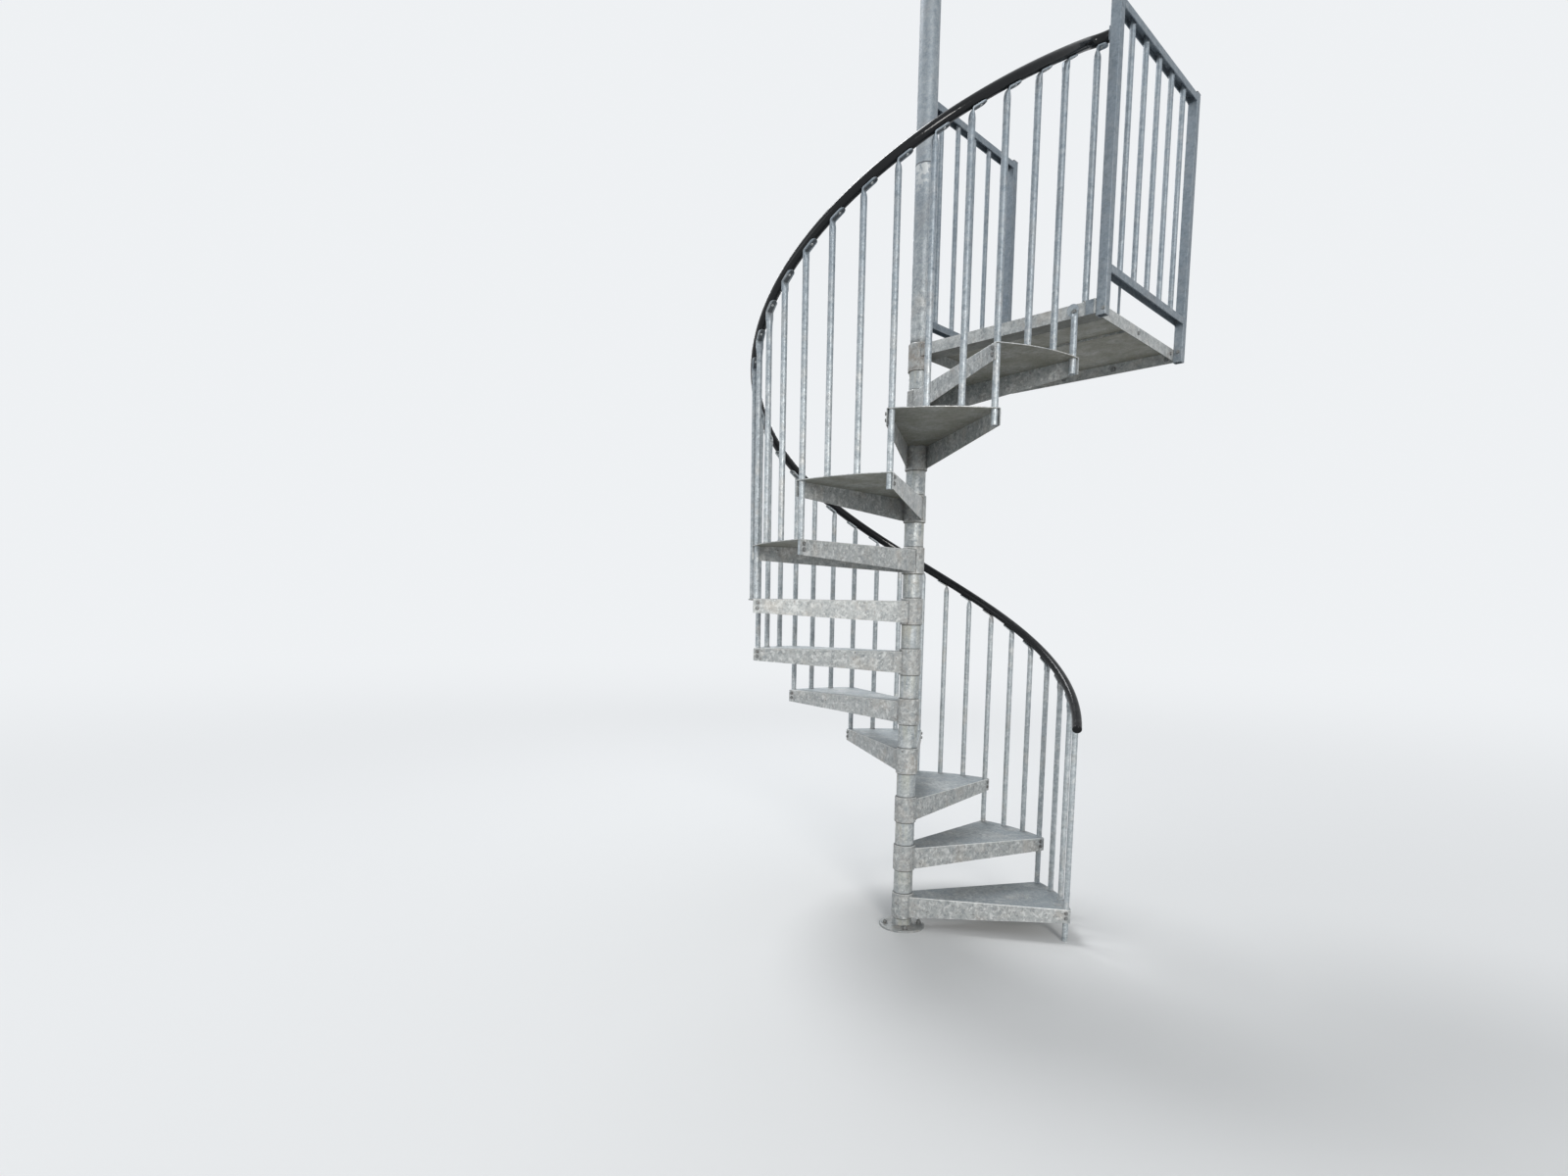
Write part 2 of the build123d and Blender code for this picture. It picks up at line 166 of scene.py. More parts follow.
# Studio: each lamp's place, diameter, watts and colour
LAMPS = {
    "key": ((12.2, -9.2, 5.4), 4.4, 1240.0, (1.0, 0.98, 0.95)),
    "sky": ((-3.6, -0.1, 8.9), 3.2, 360.0, (0.97, 0.98, 1.0)),
    "fill": ((-2.8, -6.6, 3.0), 4.0, 60.0, (0.95, 0.97, 1.0)),
    "rim": ((-4.6, 4.6, 5.4), 3.6, 140.0, (0.94, 0.97, 1.0)),
}
LAMP_TARGET = Vector((0.0, 0.0, 2.0))
SOFT_LIGHT = (0.90, 0.95, 1.0)
SOFT_STRENGTH = 0.47
FLOOR_HALF = 30.0
FADE_DISTANCE = 3.0

# Colours of dirt, age, painted shade and painted sheen, each at one place
RUN_BROWN = (0.40, 0.385, 0.26)
SLEEVE_SHADE = (0.085, 0.085, 0.080)
POLE_TOP_SHADE = (0.175, 0.215, 0.255)
SEAM = (0.10, 0.11, 0.125)
HEIGHT_SHADE_BLUE = (0.140, 0.182, 0.226)
BLOT = (0.095, 0.120, 0.145)
TAB_HOLLOW_SHADE = (0.045, 0.050, 0.055)
LIP_SHADE_COLOUR = (0.050, 0.056, 0.050)
DUST_AND_SHEEN = (0.11, 0.115, 0.12)

# How far the painted sky reflection takes down a finish's red, green and blue, and where the marks
# on sleeves end
SKY_REFLECTION_CUT = (1.0, 0.55, 0.1)
SLEEVES_END = 2.75

# Ways that fasteners point
UP = Vector((0, 0, 1))
FRONT = Vector((0, -1, 0))
RIGHT = Vector((1, 0, 0))


def tread_top(n):
    """Height of tread n's walking face, counted from 1."""
    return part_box(f"tread_{n:02d}")[1].z - SLEEVE_ABOVE


def upright_angle(k):
    """Angle of the upright at the nosing of tread k + 1."""
    return STUB_ANGLE - (len(TREADS) - k) * STEP


def rail_z(angle):
    """Height of the handrail's centreline over that angle."""
    return FIRST_RISE + (angle - upright_angle(0)) / STEP * RISE + RAIL_HEIGHT


def polar(radius, angle, z=0.0):
    return Vector((radius * math.cos(angle), radius * math.sin(angle), z))


# The sizes and colours that a user would change

class StairSizes(bpy.types.PropertyGroup):
    bolt_width: FloatProperty(
        name="Bolt width", description="Tread bolt head across its corners",
        default=0.0145, unit="LENGTH", subtype="DISTANCE")
    bolt_height: FloatProperty(
        name="Bolt height", description="Tread bolt head above its washer",
        default=0.0052, unit="LENGTH", subtype="DISTANCE")
    washer_width: FloatProperty(
        name="Washer width", description="Washer under a tread bolt",
        default=0.0185, unit="LENGTH", subtype="DISTANCE")
    screw_width: FloatProperty(
        name="Screw width", description="Pan head under a baluster's tab",
        default=0.0112, unit="LENGTH", subtype="DISTANCE")
    anchor_width: FloatProperty(
        name="Anchor width", description="Hexagon of a base bolt across its corners",
        default=0.021, unit="LENGTH", subtype="DISTANCE")
    bead_width: FloatProperty(
        name="Bead width", description="Width of a weld bead",
        default=0.0062, unit="LENGTH", subtype="DISTANCE")
    bead_pitch: FloatProperty(
        name="Bead pitch", description="Distance from one ripple of a bead to the next",
        default=0.0036, unit="LENGTH", subtype="DISTANCE")
    spangle: FloatProperty(
        name="Spangle", description="Usual size of a zinc crystal",
        default=0.0095, unit="LENGTH", subtype="DISTANCE")
    seed: IntProperty(
        name="Seed", description="Seed of the bolts' turn and the beads' unevenness", default=7)


class StairColours(bpy.types.PropertyGroup):
    zinc_light: FloatVectorProperty(
        name="Light zinc", description="Brightest crystals", subtype="COLOR", size=3,
        default=(0.550, 0.560, 0.550))
    zinc_dark: FloatVectorProperty(
        name="Dark zinc", description="Dullest crystals", subtype="COLOR", size=3,
        default=(0.222, 0.244, 0.252))
    bloom: FloatVectorProperty(
        name="Bloom", description="Pale zinc oxide", subtype="COLOR", size=3,
        default=(0.60, 0.61, 0.60))
    # Painted reflection that makes the treads' tops darker and bluer
    wear_and_reflection: FloatVectorProperty(
        name="Trodden zinc", description="Tops of the treads, dulled by feet",
        subtype="COLOR", size=3, default=(0.225, 0.270, 0.300))
    warm: FloatVectorProperty(
        name="Warm tint", description="Faint tan clouds in the zinc", subtype="COLOR", size=3,
        default=(0.45, 0.40, 0.345))
    speck: FloatVectorProperty(
        name="Speck", description="Small brown specks", subtype="COLOR", size=3,
        default=(0.115, 0.082, 0.062))
    # Painted shade on faces that point down, on zinc that is also duller there
    dull_shaded_underside: FloatVectorProperty(
        name="Underside", description="Dull zinc that the rain never rinses",
        subtype="COLOR", size=3, default=(0.120, 0.116, 0.084))
    stain: FloatVectorProperty(
        name="Weld stain", description="Brown bleeding from the welds", subtype="COLOR", size=3,
        default=(0.135, 0.095, 0.062))
    vinyl: FloatVectorProperty(
        name="Handrail", description="Black vinyl of the handrail", subtype="COLOR", size=3,
        default=(0.006, 0.0066, 0.0074))
    plastic: FloatVectorProperty(
        name="Post caps", description="Black plastic of the caps", subtype="COLOR", size=3,
        default=(0.018, 0.018, 0.019))
    floor: FloatVectorProperty(
        name="Floor", description="Plain floor under the stair", subtype="COLOR", size=3,
        default=(0.74, 0.74, 0.735))
    backdrop: FloatVectorProperty(
        name="Backdrop", description="What the camera sees behind the stair",
        subtype="COLOR", size=3, default=(0.86, 0.88, 0.90))


def sizes():
    return bpy.context.scene.stair_sizes


def colours():
    return bpy.context.scene.stair_colours


# Materials

class Wire:
    """A node's output. Python arithmetic on it adds Math nodes."""

    def __init__(self, maker, socket):
        self.maker = maker
        self.socket = socket

    def __add__(self, other):
        return self.maker.math("ADD", self, other)

    def __sub__(self, other):
        return self.maker.math("SUBTRACT", self, other)

    def __rsub__(self, other):
        return self.maker.math("SUBTRACT", other, self)

    def __mul__(self, other):
        return self.maker.math("MULTIPLY", self, other)

    def __truediv__(self, other):
        return self.maker.math("DIVIDE", self, other)

    def __rtruediv__(self, other):
        return self.maker.math("DIVIDE", other, self)

    __radd__ = __add__
    __rmul__ = __mul__


def find_socket(sockets, key):
    """A socket by number, identifier or name."""
    if isinstance(key, int):
        return sockets[key]
    for socket in sockets:
        if socket.identifier == key:
            return socket
    return sockets[key]


def add_node(tree, kind, settings, sockets):
    """A new node, with its settings made first and then its sockets linked or set."""
    made = tree.nodes.new(kind)
    for name, value in (settings or {}).items():
        setattr(made, name, value)
    for key, value in (sockets or {}).items():
        socket = find_socket(made.inputs, key)
        if isinstance(value, Wire):
            value = value.socket
        if isinstance(value, bpy.types.NodeSocket):
            tree.links.new(value, socket)
        else:
            socket.default_value = value
    return made


def rgba(colour):
    return (colour[0], colour[1], colour[2], 1.0)


def scaled(colour, factor):
    return [channel * factor for channel in colour]


class Maker:
    """Makes the nodes of one material, or of the world."""

    def __init__(self, owner):
        self.owner = owner
        owner.use_nodes = True
        self.tree = owner.node_tree
        self.tree.nodes.clear()

    def node(self, kind, settings=None, sockets=None, output=0):
        made = add_node(self.tree, kind, settings, sockets)
        if made.outputs:
            return Wire(self, find_socket(made.outputs, output))

    def math(self, operation, *values):
        return self.node("ShaderNodeMath", {"operation": operation}, dict(enumerate(values)))

    def place(self):
        return self.node("ShaderNodeTexCoord", output="Object")

    def part(self, vector, axis):
        return self.node("ShaderNodeSeparateXYZ", None, {0: vector}, axis)

    def from_axis(self, at):
        """Distance from the pole's axis."""
        x = self.part(at, 0)
        y = self.part(at, 1)
        return self.math("SQRT", x * x + y * y)

    def facing_up(self):
        """How far the surface faces up: 1 on a floor, -1 on a ceiling."""
        return self.part(self.node("ShaderNodeNewGeometry", output="Normal"), 2)

    def shown_directly(self):
        """1 for what the camera sees straight, in a gloss or through something, and 0 for light."""
        shown = self.node("ShaderNodeLightPath", output="Is Camera Ray")
        for ray in ("Is Glossy Ray", "Is Transmission Ray"):
            shown = self.math("MAXIMUM", shown, self.node("ShaderNodeLightPath", output=ray))
        return shown

    def vector_math(self, operation, sockets):
        return self.node("ShaderNodeVectorMath", {"operation": operation}, sockets)

    def stretched(self, vector, scale):
        inputs = {"Vector": vector, "Scale": scale}
        return self.node("ShaderNodeMapping", {"vector_type": "POINT"}, inputs)

    def shaken(self, vector, scale, amount):
        """The same place moved about by noise, so that straight patterns waver."""
        inputs = {"Vector": vector, "Scale": scale, "Detail": 2.0}
        cloud = self.node("ShaderNodeTexNoise", None, inputs, "Color")
        centred = self.vector_math("SUBTRACT", {0: cloud, 1: (0.5, 0.5, 0.5)})
        step = self.vector_math("SCALE", {0: centred, "Scale": amount})
        return self.vector_math("ADD", {0: vector, 1: step})

    def noise(self, vector, scale, detail=3.0, rough=0.55):
        inputs = {"Vector": vector, "Scale": scale, "Detail": detail, "Roughness": rough}
        return self.node("ShaderNodeTexNoise", None, inputs, "Fac")

    def crystals(self, vector, size):
        """A number for each crystal, the same all over it."""
        inputs = {"Vector": vector, "Scale": 1 / size}
        cell = self.node("ShaderNodeTexVoronoi", None, inputs, "Color")
        return self.node("ShaderNodeSeparateColor", None, {0: cell}, 0)

    def dots(self, vector, spacing, radius, share, core=0.6):
        """Round dots in some of the cells: 1 inside the core, 0 outside."""
        inputs = {"Vector": vector, "Scale": 1 / spacing}
        distance = self.node("ShaderNodeTexVoronoi", None, inputs, "Distance")
        cell = self.node("ShaderNodeTexVoronoi", None, inputs, "Color")
        chance = self.node("ShaderNodeSeparateColor", None, {0: cell}, 1)
        edge = radius / spacing
        inside = self.ease(distance, edge, edge * core)
        return inside * self.ease(chance, 1 - share, 1 - share + 0.02)

    def ease(self, value, low, high, least=0.0):
        """0 or the least below low and 1 above high, smooth between; low may be the larger."""
        inputs = {"Value": value, "From Min": low, "From Max": high, "To Min": least}
        return self.node("ShaderNodeMapRange", {"interpolation_type": "SMOOTHSTEP"}, inputs)

    def blots(self, vector, shake, grain, low, high):
        """Noise on a wavering place, cut softly into blots between two levels."""
        return self.ease(self.noise(self.shaken(vector, *shake), *grain), low, high)

    def mix(self, share, first, second):
        inputs = {"Factor_Float": share}
        for key, colour in (("A_Color", first), ("B_Color", second)):
            inputs[key] = colour if isinstance(colour, Wire) else rgba(colour)
        return self.node("ShaderNodeMix", {"data_type": "RGBA"}, inputs, "Result_Color")

    def bump(self, height, strength, distance):
        inputs = {"Height": height, "Strength": strength, "Distance": distance}
        return self.node("ShaderNodeBump", None, inputs)

    def finish(self, shader, kind="ShaderNodeOutputMaterial"):
        self.node(kind, None, {"Surface": shader})
        return self.owner

    def surface(self, inputs):
        return self.finish(self.node("ShaderNodeBsdfPrincipled", None, inputs))


def new_material(name):
    return Maker(bpy.data.materials.new(name))


def zinc(name, shade, grain=1.0, streaks=0.0, bloom=0.5, specks=0.5, dull_and_shaded_below=0.0,
         hub_stain=0.0, sky_reflection=0.0, extra=None):
    """Hot-dip galvanised steel: soft crystals, clouds, runs, pale rosettes and brown specks."""
    look = colours()
    size = sizes().spangle * grain
    m = new_material(name)
    at = m.place()
    large = m.crystals(m.shaken(at, 70.0, 0.008), size)
    small = m.crystals(m.shaken(at, 150.0, 0.004), size * 0.4)
    clouds = m.noise(at, 7.0, 3.0, 0.5)
    patches = m.noise(m.shaken(at, 25.0, 0.02), 34.0, 4.0, 0.6)
    fine = m.noise(at, 420.0, 2.0)
    runs = m.noise(m.stretched(at, (1.0, 1.0, 0.045)), 60.0)
    tone = 0.5 + (large - 0.5) * 0.36 + (small - 0.5) * 0.30
    tone = tone + (clouds - 0.5) * 0.40 + (patches - 0.5) * 1.15
    tone = tone + (fine - 0.5) * 0.2 + (runs - 0.5) * streaks
    tone = m.node("ShaderNodeClamp", None, {0: tone})
    # Painted sky reflection makes the zinc darker and bluer
    light, dark = (
        [channel * shade * (1 - sky_reflection * share) for channel, share in zip(zinc_colour, SKY_REFLECTION_CUT)]
        for zinc_colour in (look.zinc_light, look.zinc_dark))
    colour = m.mix(tone, dark, light)
    tint = m.blots(at, (15.0, 0.04), (11.0, 4.0, 0.6), 0.48, 0.72)
    colour = m.mix(tint * 0.42 * (1 - sky_reflection), colour, scaled(look.warm, shade))

    # Rosettes: a dull ring round a pale middle, and pale curls between them
    rosettes = {"vector": m.shaken(at, 110.0, 0.006), "spacing": 0.030, "share": 0.46}
    ring = m.dots(radius=0.0098, core=0.75, **rosettes) * 0.45
    colour = m.mix(ring * bloom, colour, scaled(look.zinc_dark, shade * 0.78))
    curls = m.blots(at, (38.0, 0.025), (44.0, 4.0, 0.65), 0.52, 0.62)
    pale = m.dots(radius=0.0070, core=0.45, **rosettes) + curls * 0.8
    pale = m.math("MINIMUM", pale, 1.0) * bloom
    colour = m.mix(pale, colour, scaled(look.bloom, shade * 1.12))

    # Brown specks of two sizes, and smears
    smear = m.blots(at, (45.0, 0.015), (72.0, 4.0, 0.65), 0.555, 0.66)
    small_dots = m.dots(m.shaken(at, 170.0, 0.002), spacing=0.024, radius=0.0024, share=0.26)
    large_dots = m.dots(m.shaken(at, 90.0, 0.004), spacing=0.048, radius=0.0044, share=0.44)
    brown = small_dots + large_dots + smear * 0.40
    brown = m.math("MINIMUM", brown, 1.0) * specks
    colour = m.mix(brown, colour, look.speck)
    rough = 0.50 + pale * 0.14 + brown * 0.2 + (0.5 - tone) * 0.22
    metal = 0.42 - pale * 0.2 - brown * 0.4
    height = large * 0.3 + fine * 0.5 + m.noise(at, 150.0) * 0.9 + pale * 0.5 + runs * streaks
    if dull_and_shaded_below:
        facing = m.facing_up()
        # Painted reflection makes the tops darker and bluer, and wear makes them rougher
        wear_and_reflection = m.ease(facing, 0.75, 0.97) * m.ease(clouds, 0.30, 0.62, least=0.45)
        colour = m.mix(wear_and_reflection * 0.66, colour, scaled(look.wear_and_reflection, shade * 0.84))
        # Painted highlight along the bent edges of the plates
        edge = m.ease(facing, 0.10, 0.32) * m.ease(facing, 0.93, 0.72)
        colour = m.mix(edge * 0.75, colour, scaled(look.bloom, 1.2))
        # Painted shade on faces that point down, and duller zinc there
        under = m.ease(facing, -0.35, -0.85) * dull_and_shaded_below
        under = under * m.ease(m.noise(at, 9.0, 4.0, 0.6), 0.25, 0.70, least=0.70)
        colour = m.mix(under, colour, look.dull_shaded_underside)
        rough = rough + wear_and_reflection * 0.14 + under * 0.16
        metal = metal - wear_and_reflection * 0.12 - under * 0.32
    if hub_stain:
        close = m.ease(m.from_axis(at), 0.125, 0.055) * m.ease(m.noise(at, 34.0, 4.0), 0.34, 0.66)
        colour = m.mix(close * hub_stain, colour, look.stain)
        rough = rough + close * 0.2
        metal = metal - close * 0.3 * hub_stain
    if extra:
        colour = extra(m, at, colour, runs)
    return m.surface({
        "Base Color": colour,
        "Roughness": m.math("MINIMUM", rough, 0.92),
        "Metallic": m.math("MAXIMUM", metal, 0.0),
        "Normal": m.bump(height, 0.22, 0.0008),
    })


def pole_marks(m, at, colour, runs):
    """Painted shade at the sleeves' ends, faint runs, painted shade that makes the pole darker and
    bluer high up, the pole's joint and the pale patch below it.
    """
    up = m.part(at, 2)
    step = m.math("FRACT", (up - FIRST_RISE + SLEEVE_BELOW) / RISE)
    among = m.ease(up, SLEEVES_END, SLEEVES_END - 0.03)
    drip = m.ease(step, 0.35, 0.98) * m.ease(runs, 0.40, 0.62) * among
    colour = m.mix(drip * 0.30, colour, RUN_BROWN)
    # Painted shade in thin dark bands at the ends of the sleeves
    sleeve_shade = m.math("MAXIMUM", m.ease(step, 0.972, 0.990), m.ease(step, 0.548, 0.530)) * among
    colour = m.mix(sleeve_shade * 0.7, colour, SLEEVE_SHADE)
    # Painted shade: the pole comes out darker and bluer high up
    colour = m.mix(m.ease(up, 2.6, 3.4) * 0.62, colour, POLE_TOP_SHADE)
    patch = m.ease(up, POLE_JOINT + 0.001, POLE_JOINT - 0.001)
    patch = patch * m.ease(up, POLE_JOINT - 0.17, POLE_JOINT - 0.03)
    patch = patch * m.blots(at, (60.0, 0.02), (40.0, 3.0, 0.6), 0.47, 0.56)
    colour = m.mix(patch * 0.55, colour, scaled(colours().bloom, 1.08))
    seam = m.ease(m.math("ABSOLUTE", up - POLE_JOINT), 0.0042, 0.0018)
    return m.mix(seam * 0.75, colour, SEAM)


def painted_height_shade(m, at, colour, runs):
    """Painted shade that makes the steel darker and bluer high up, with dark blots, more of them
    high up.
    """
    up = m.part(at, 2)
    colour = m.mix(m.ease(up, 2.0, 3.1) * 0.60, colour, HEIGHT_SHADE_BLUE)
    blots = m.blots(at, (40.0, 0.02), (52.0, 3.0, 0.6), 0.54, 0.64)
    blots = blots * m.ease(up, 1.6, 2.8, least=0.25)
    return m.mix(blots * 0.38, colour, BLOT)


def rod_marks(m, at, colour, runs):
    """The rods' painted height shade, and painted shade in the hollow under every tab, away from
    the handrail.
    """
    colour = painted_height_shade(m, at, colour, runs)
    turn = m.math("ARCTAN2", m.part(at, 1), m.part(at, 0))
    turn = turn - m.ease(turn, 0.05, 0.10) * (2 * math.pi)
    below = rail_z(0.0) + turn * (RISE / STEP) - m.part(at, 2)
    inside = m.ease(m.math("ABSOLUTE", m.from_axis(at) - CIRCLE), 0.0105, 0.0085)
    # Painted shade in the hollow underside of each tab
    hollow_shade = inside * m.ease(m.facing_up(), 0.15, -0.15)
    hollow_shade = hollow_shade * m.ease(below, 0.0655, 0.058) * m.ease(below, 0.0, 0.02)
    return m.mix(hollow_shade * 0.82, colour, TAB_HOLLOW_SHADE)


def lip_shade(m, at, colour, runs):
    """Painted shade, near black, on the lip folded back under the landing's front."""
    lip = m.ease(m.part(at, 2), LANDING_LOW + 0.006, LANDING_LOW + 0.004)
    lip = lip * m.ease(m.facing_up(), -0.7, -0.9)
    lip = lip * m.ease(m.noise(at, 14.0), 0.25, 0.7, least=0.75)
    return m.mix(lip * 0.7, colour, LIP_SHADE_COLOUR)


def weld_metal():
    """Weld beads under the zinc: rougher, a little darker, with brown in the hollows."""
    look = colours()
    m = new_material("weld_metal")
    at = m.place()
    tone = m.ease(m.noise(at, 260.0), 0.3, 0.72)
    rust = m.ease(m.noise(at, 28.0, 4.0, 0.65), 0.50, 0.68)
    colour = m.mix(tone, scaled(look.zinc_dark, 0.95), scaled(look.zinc_light, 0.78))
    colour = m.mix(rust * 0.55, colour, look.stain)
    return m.surface({
        "Base Color": colour,
        "Roughness": 0.46 + rust * 0.3 + tone * 0.08,
        "Metallic": 0.7 - rust * 0.5,
        "Normal": m.bump(m.noise(at, 700.0, 2.0), 0.35, 0.0006),
    })


def fastener_metal(name, shade, rusting):
    """Zinc-plated fasteners, with brown starting in the corners."""
    look = colours()
    m = new_material(name)
    at = m.place()
    wear = m.noise(at, 330.0)
    spread = rusting * 0.22
    rust = m.ease(m.noise(at, 90.0, 3.0, 0.7), 0.62 - spread, 0.78 - spread)
    colour = m.mix(wear, scaled(look.zinc_dark, shade), scaled(look.zinc_light, shade))
    colour = m.mix(rust * 0.8, colour, look.speck)
    return m.surface({
        "Base Color": colour,
        "Roughness": 0.40 + wear * 0.2 + rust * 0.3,
        "Metallic": 0.7 - rust * 0.5,
        "Normal": m.bump(wear, 0.25, 0.0004),
    })


def vinyl():
    """Smooth black vinyl with faint scuffs, and a little dust and painted sheen on the upper side.
    """
    look = colours()
    m = new_material("handrail_vinyl")
    at = m.place()
    scuffs = m.ease(m.noise(m.stretched(at, (1.0, 1.0, 0.3)), 160.0, 4.0, 0.7), 0.56, 0.80)
    clouds = m.noise(at, 9.0)
    # A little dust and a painted sheen, lighter on the upper side
    dust_and_sheen = m.ease(m.facing_up(), 0.30, 1.0) * m.ease(m.noise(at, 30.0, 4.0, 0.6), 0.35, 0.75)
    colour = m.mix(clouds, look.vinyl, scaled(look.vinyl, 1.9))
    colour = m.mix(dust_and_sheen * 0.22, colour, DUST_AND_SHEEN)
    return m.surface({
        "Base Color": colour,
        "Roughness": 0.12 + scuffs * 0.08 + dust_and_sheen * 0.12 + clouds * 0.03,
        "Specular IOR Level": 0.22,
        "Normal": m.bump(m.noise(at, 45.0, 2.0) + scuffs * 0.1, 0.05, 0.0008),
    })


def black_plastic():
    """Moulded black caps, matt, paler where the sun has worked on them."""
    look = colours()
    m = new_material("cap_plastic")
    at = m.place()
    grain = m.noise(at, 900.0, 2.0)
    faded = m.ease(m.noise(at, 22.0, 4.0), 0.45, 0.75)
    return m.surface({
        "Base Color": m.mix(faded, look.plastic, scaled(look.plastic, 2.4)),
        "Roughness": 0.42 + faded * 0.2 + grain * 0.1,
        "Normal": m.bump(grain, 0.2, 0.0003),
    })


def rod_finish():
    # The rods' zinc is lighter than the rest: painted light, as the treads shade the rods
    return bpy.data.materials.get("zinc_rods") or zinc(
        "zinc_rods", shade=1.16, grain=0.7, streaks=0.5, bloom=0.40, specks=0.25, sky_reflection=0.10,
        extra=rod_marks)


def bolt_finish():
    # The bolts' zinc is darker than the screws': painted shade round their heads; their brown is
    # rust
    return bpy.data.materials.get("bolt_metal") or fastener_metal("bolt_metal", 0.62, 0.6)


def screw_finish():
    return bpy.data.materials.get("screw_metal") or fastener_metal("screw_metal", 1.15, 0.0)


def weld_finish():
    return bpy.data.materials.get("weld_metal") or weld_metal()


def paint(node, material):
    """Gives a node of the frame one material, in every slot that it has."""
    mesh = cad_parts[node].data
    if not mesh.materials:
        mesh.materials.append(material)
    for number in range(len(mesh.materials)):
        mesh.materials[number] = material


# Meshes

def lathe(profile, sides):
    """A closed shape turned about Z, from (radius, height) points between two on the axis."""
    shape = bmesh.new()
    rings = []
    for radius, height in profile:
        count = sides if radius else 1
        places = [polar(radius, 2 * math.pi * k / sides, height) for k in range(count)]
        rings.append([shape.verts.new(place) for place in places])
    for low, high in zip(rings, rings[1:]):
        for k in range(sides):
            corners = []
            for ring, turn in ((low, k), (low, k + 1), (high, k + 1), (high, k)):
                vert = ring[turn % len(ring)]
                if vert not in corners:
                    corners.append(vert)
            shape.faces.new(corners)
    bmesh.ops.recalc_face_normals(shape, faces=shape.faces)
    return shape


def loft(sections, sides):
    """A closed, smooth shape through (depth, half width, half thickness) ellipses, going down."""
    shape = bmesh.new()
    turns = [2 * math.pi * k / sides for k in range(sides)]
    rings = []
    for depth, wide, thick in sections:
        places = [(wide * math.cos(turn), thick * math.sin(turn), -depth) for turn in turns]
        rings.append([shape.verts.new(place) for place in places])
    for high, low in zip(rings, rings[1:]):
        for k in range(sides):
            shape.faces.new((high[k - 1], high[k], low[k], low[k - 1])).smooth = True
    shape.faces.new(rings[0])
    shape.faces.new(rings[-1])
    bmesh.ops.recalc_face_normals(shape, faces=shape.faces)
    return shape


def prototype(name, *shapes):
    """One object made of bmesh shapes, which are freed."""
    whole = bmesh.new()
    for shape in shapes:
        piece = bpy.data.meshes.new(name)
        shape.to_mesh(piece)
        whole.from_mesh(piece)
        shape.free()
        bpy.data.meshes.remove(piece)
    mesh = bpy.data.meshes.new(name)
    whole.to_mesh(mesh)
    whole.free()
    thing = bpy.data.objects.new(name, mesh)
    bpy.context.collection.objects.link(thing)
    return thing


def hex_bolt(name, width, height, washer_width, washer_height, stud=0.0):
    """Washer, chamfered hexagon and, on a nut, the bolt's end standing out of it."""
    r = width / 2
    w = washer_width / 2
    middle = washer_height * 0.5
    top = washer_height + height
    dish = top - height * 0.07
    shapes = [
        lathe([(0, -HEAD_SUNK), (w, -HEAD_SUNK), (w, washer_height * 0.7),
               (w * 0.96, washer_height), (0, washer_height)], sides=24),
        lathe([(0, middle), (r, middle), (r, top - height * 0.16),
               (r * 0.90, top), (r * 0.62, top), (r * 0.56, dish), (0, dish)], sides=6),
    ]
    if stud:
        s = r * 0.52
        shapes.append(lathe([(0, top - 0.001), (s, top - 0.001), (s, top + stud * 0.8),
                             (s * 0.8, top + stud), (0, top + stud)], sides=16))
    return prototype(name, *shapes)


def pan_screw(name, width):
    """Domed head with a round recess."""
    r = width / 2
    h = width * 0.30
    return prototype(name, lathe([
        (0, -HEAD_SUNK), (r, -HEAD_SUNK), (r, h * 0.25), (r * 0.93, h * 0.6), (r * 0.74, h * 0.88),
        (r * 0.46, h), (r * 0.36, h), (r * 0.28, h * 0.45), (0, h * 0.40)], sides=14))


# Geometry Nodes

class Grower:
    """A Geometry Nodes tree with named inputs, its nodes placed by the same kind of method."""

    def __init__(self, name, inputs):
        self.tree = bpy.data.node_groups.new(name, "GeometryNodeTree")
        sockets = self.tree.interface
        for label, kind in [("Geometry", "NodeSocketGeometry"), *inputs]:
            sockets.new_socket(label, in_out="INPUT", socket_type=kind)
        sockets.new_socket("Geometry", in_out="OUTPUT", socket_type="NodeSocketGeometry")
        self.start = self.tree.nodes.new("NodeGroupInput")

    def given(self, label):
        return self.start.outputs[label]

    def node(self, kind, settings=None, sockets=None, output=0):
        return find_socket(add_node(self.tree, kind, settings, sockets).outputs, output)

    def random(self, **limits):
        """A random number for each point, from the tree's seed."""
        sockets = {"Seed": self.given("Seed"), **limits}
        return self.node("FunctionNodeRandomValue", {"data_type": "FLOAT"}, sockets, "Value_001")

    def finish(self, instances, smooth):
        """Realizes the instances, sets shading and material, and ends the tree."""
        real = self.node("GeometryNodeRealizeInstances", None, {0: instances})
        if smooth:
            real = self.node("GeometryNodeSetShadeSmooth", None, {0: real})
        sockets = {"Geometry": real, "Material": self.given("Finish")}
        done = self.node("GeometryNodeSetMaterial", None, sockets)
        end = self.tree.nodes.new("NodeGroupOutput")
        self.tree.links.new(done, end.inputs[0])
        return self.tree


